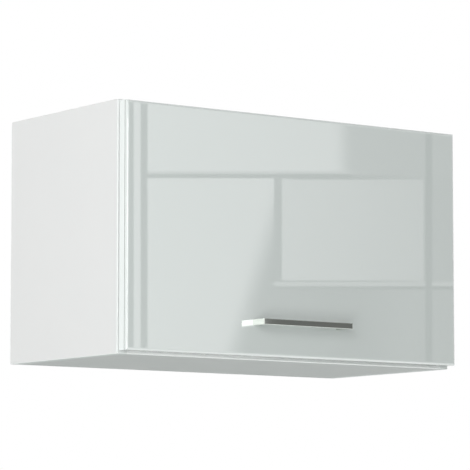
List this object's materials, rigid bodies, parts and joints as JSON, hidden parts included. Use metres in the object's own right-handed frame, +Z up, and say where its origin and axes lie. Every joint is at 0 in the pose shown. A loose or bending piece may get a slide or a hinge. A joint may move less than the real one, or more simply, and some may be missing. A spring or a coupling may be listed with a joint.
{
  "type": "range hood cabinet",
  "caption": "White wall cabinet that hangs above a range hood, with a gloss lift-up flap on concealed top hinges, gas struts that hold it open and a slim chrome bow handle.",
  "frame": {"origin": "middle of the cabinet's back, on the wall plane and at half its height", "axes": "+X to the right as seen from the front, +Y into the wall, +Z up"},
  "size_m": [0.6, 0.3365, 0.36],
  "materials": {
    "white_board": "matt white melamine on chipboard",
    "hardboard": "smooth brown hardboard",
    "white_edging": "matt white edging",
    "zinc": "die-cast, plain",
    "zinc_steel": "zinc plated",
    "beech": "plain turned beech",
    "white_plastic": "smooth",
    "nickel_steel": "nickel plated",
    "spring_steel": "plain spring steel",
    "gloss_front": "white high gloss over fibreboard",
    "handle_chrome": "polished chrome",
    "clear_rubber": "soft, clear",
    "black_steel": "black paint",
    "rod_chrome": "polished",
    "black_plastic": "moulded",
    "guide_plastic": "moulded"
  },
  "bodies": {
    "carcass": {"left_side_panel": "white_board", "right_side_panel": "white_board", "top_panel": "white_board", "bottom_panel": "white_board", "back_panel": "hardboard", "left_front_edge_band": "white_edging", "right_front_edge_band": "white_edging", "top_front_edge_band": "white_edging", "bottom_front_edge_band": "white_edging", "left_bottom_edge_band": "white_edging", "right_bottom_edge_band": "white_edging", "cam_locks": "zinc", "cam_bolts": "zinc_steel", "hanger_screws": "zinc_steel", "hinge_base_screws": "zinc_steel", "hinge_arm_screws": "zinc_steel", "strut_side_screws": "zinc_steel", "back_panel_nails": "zinc_steel", "left_hanger_plate": "zinc_steel", "right_hanger_plate": "zinc_steel", "wood_dowels": "beech", "cam_cover_caps": "white_plastic", "left_hinge_base": "nickel_steel", "right_hinge_base": "nickel_steel", "left_hinge_arm": "nickel_steel", "right_hinge_arm": "nickel_steel", "left_strut_side_bracket": "nickel_steel", "right_strut_side_bracket": "nickel_steel", "strut_side_clips": "spring_steel"},
    "flap": {"flap_panel": "gloss_front", "handle": "handle_chrome", "handle_screws": "zinc_steel", "flap_bumpers": "clear_rubber", "left_hinge_cup": "nickel_steel", "right_hinge_cup": "nickel_steel", "left_hinge_pin": "nickel_steel", "right_hinge_pin": "nickel_steel", "hinge_cup_screws": "zinc_steel", "left_strut_flap_bracket": "nickel_steel", "right_strut_flap_bracket": "nickel_steel", "strut_flap_screws": "zinc_steel", "strut_flap_clips": "spring_steel"},
    "left_cylinder": {"left_strut_cylinder": "black_steel", "left_cylinder_socket": "black_plastic", "left_rod_guide": "guide_plastic"},
    "left_rod": {"left_strut_rod": "rod_chrome", "left_rod_socket": "black_plastic", "left_piston": "guide_plastic"},
    "right_cylinder": {"right_strut_cylinder": "black_steel", "right_cylinder_socket": "black_plastic", "right_rod_guide": "guide_plastic"},
    "right_rod": {"right_strut_rod": "rod_chrome", "right_rod_socket": "black_plastic", "right_piston": "guide_plastic"}
  },
  "joints": [
    {"name": "flap_swing", "type": "hinge", "parent": "carcass", "child": "flap", "pos_m": [0, -0.2995, 0.1705], "axis": [-1, 0, 0], "range_deg": [0, 90]},
    {"name": "left_cylinder_swing", "type": "hinge", "parent": "carcass", "child": "left_cylinder", "pos_m": [-0.268, -0.15091, 0.15], "axis": [-1, 0, 0], "range_deg": [0, 45]},
    {"name": "left_rod_swing", "type": "hinge", "parent": "flap", "child": "left_rod", "pos_m": [-0.268, -0.2775, 0.02212], "axis": [-1, 0, 0], "range_deg": [-45, 0]},
    {"name": "right_cylinder_swing", "type": "hinge", "parent": "carcass", "child": "right_cylinder", "pos_m": [0.268, -0.15091, 0.15], "axis": [-1, 0, 0], "range_deg": [0, 45]},
    {"name": "right_rod_swing", "type": "hinge", "parent": "flap", "child": "right_rod", "pos_m": [0.268, -0.2775, 0.02212], "axis": [-1, 0, 0], "range_deg": [-45, 0]}
  ],
  "couplings": [
    {"joint": "left_cylinder_swing", "follows": "flap_swing", "ratio": 0.5},
    {"joint": "left_rod_swing", "follows": "flap_swing", "ratio": -0.5},
    {"joint": "right_cylinder_swing", "follows": "flap_swing", "ratio": 0.5},
    {"joint": "right_rod_swing", "follows": "flap_swing", "ratio": -0.5}
  ]
}
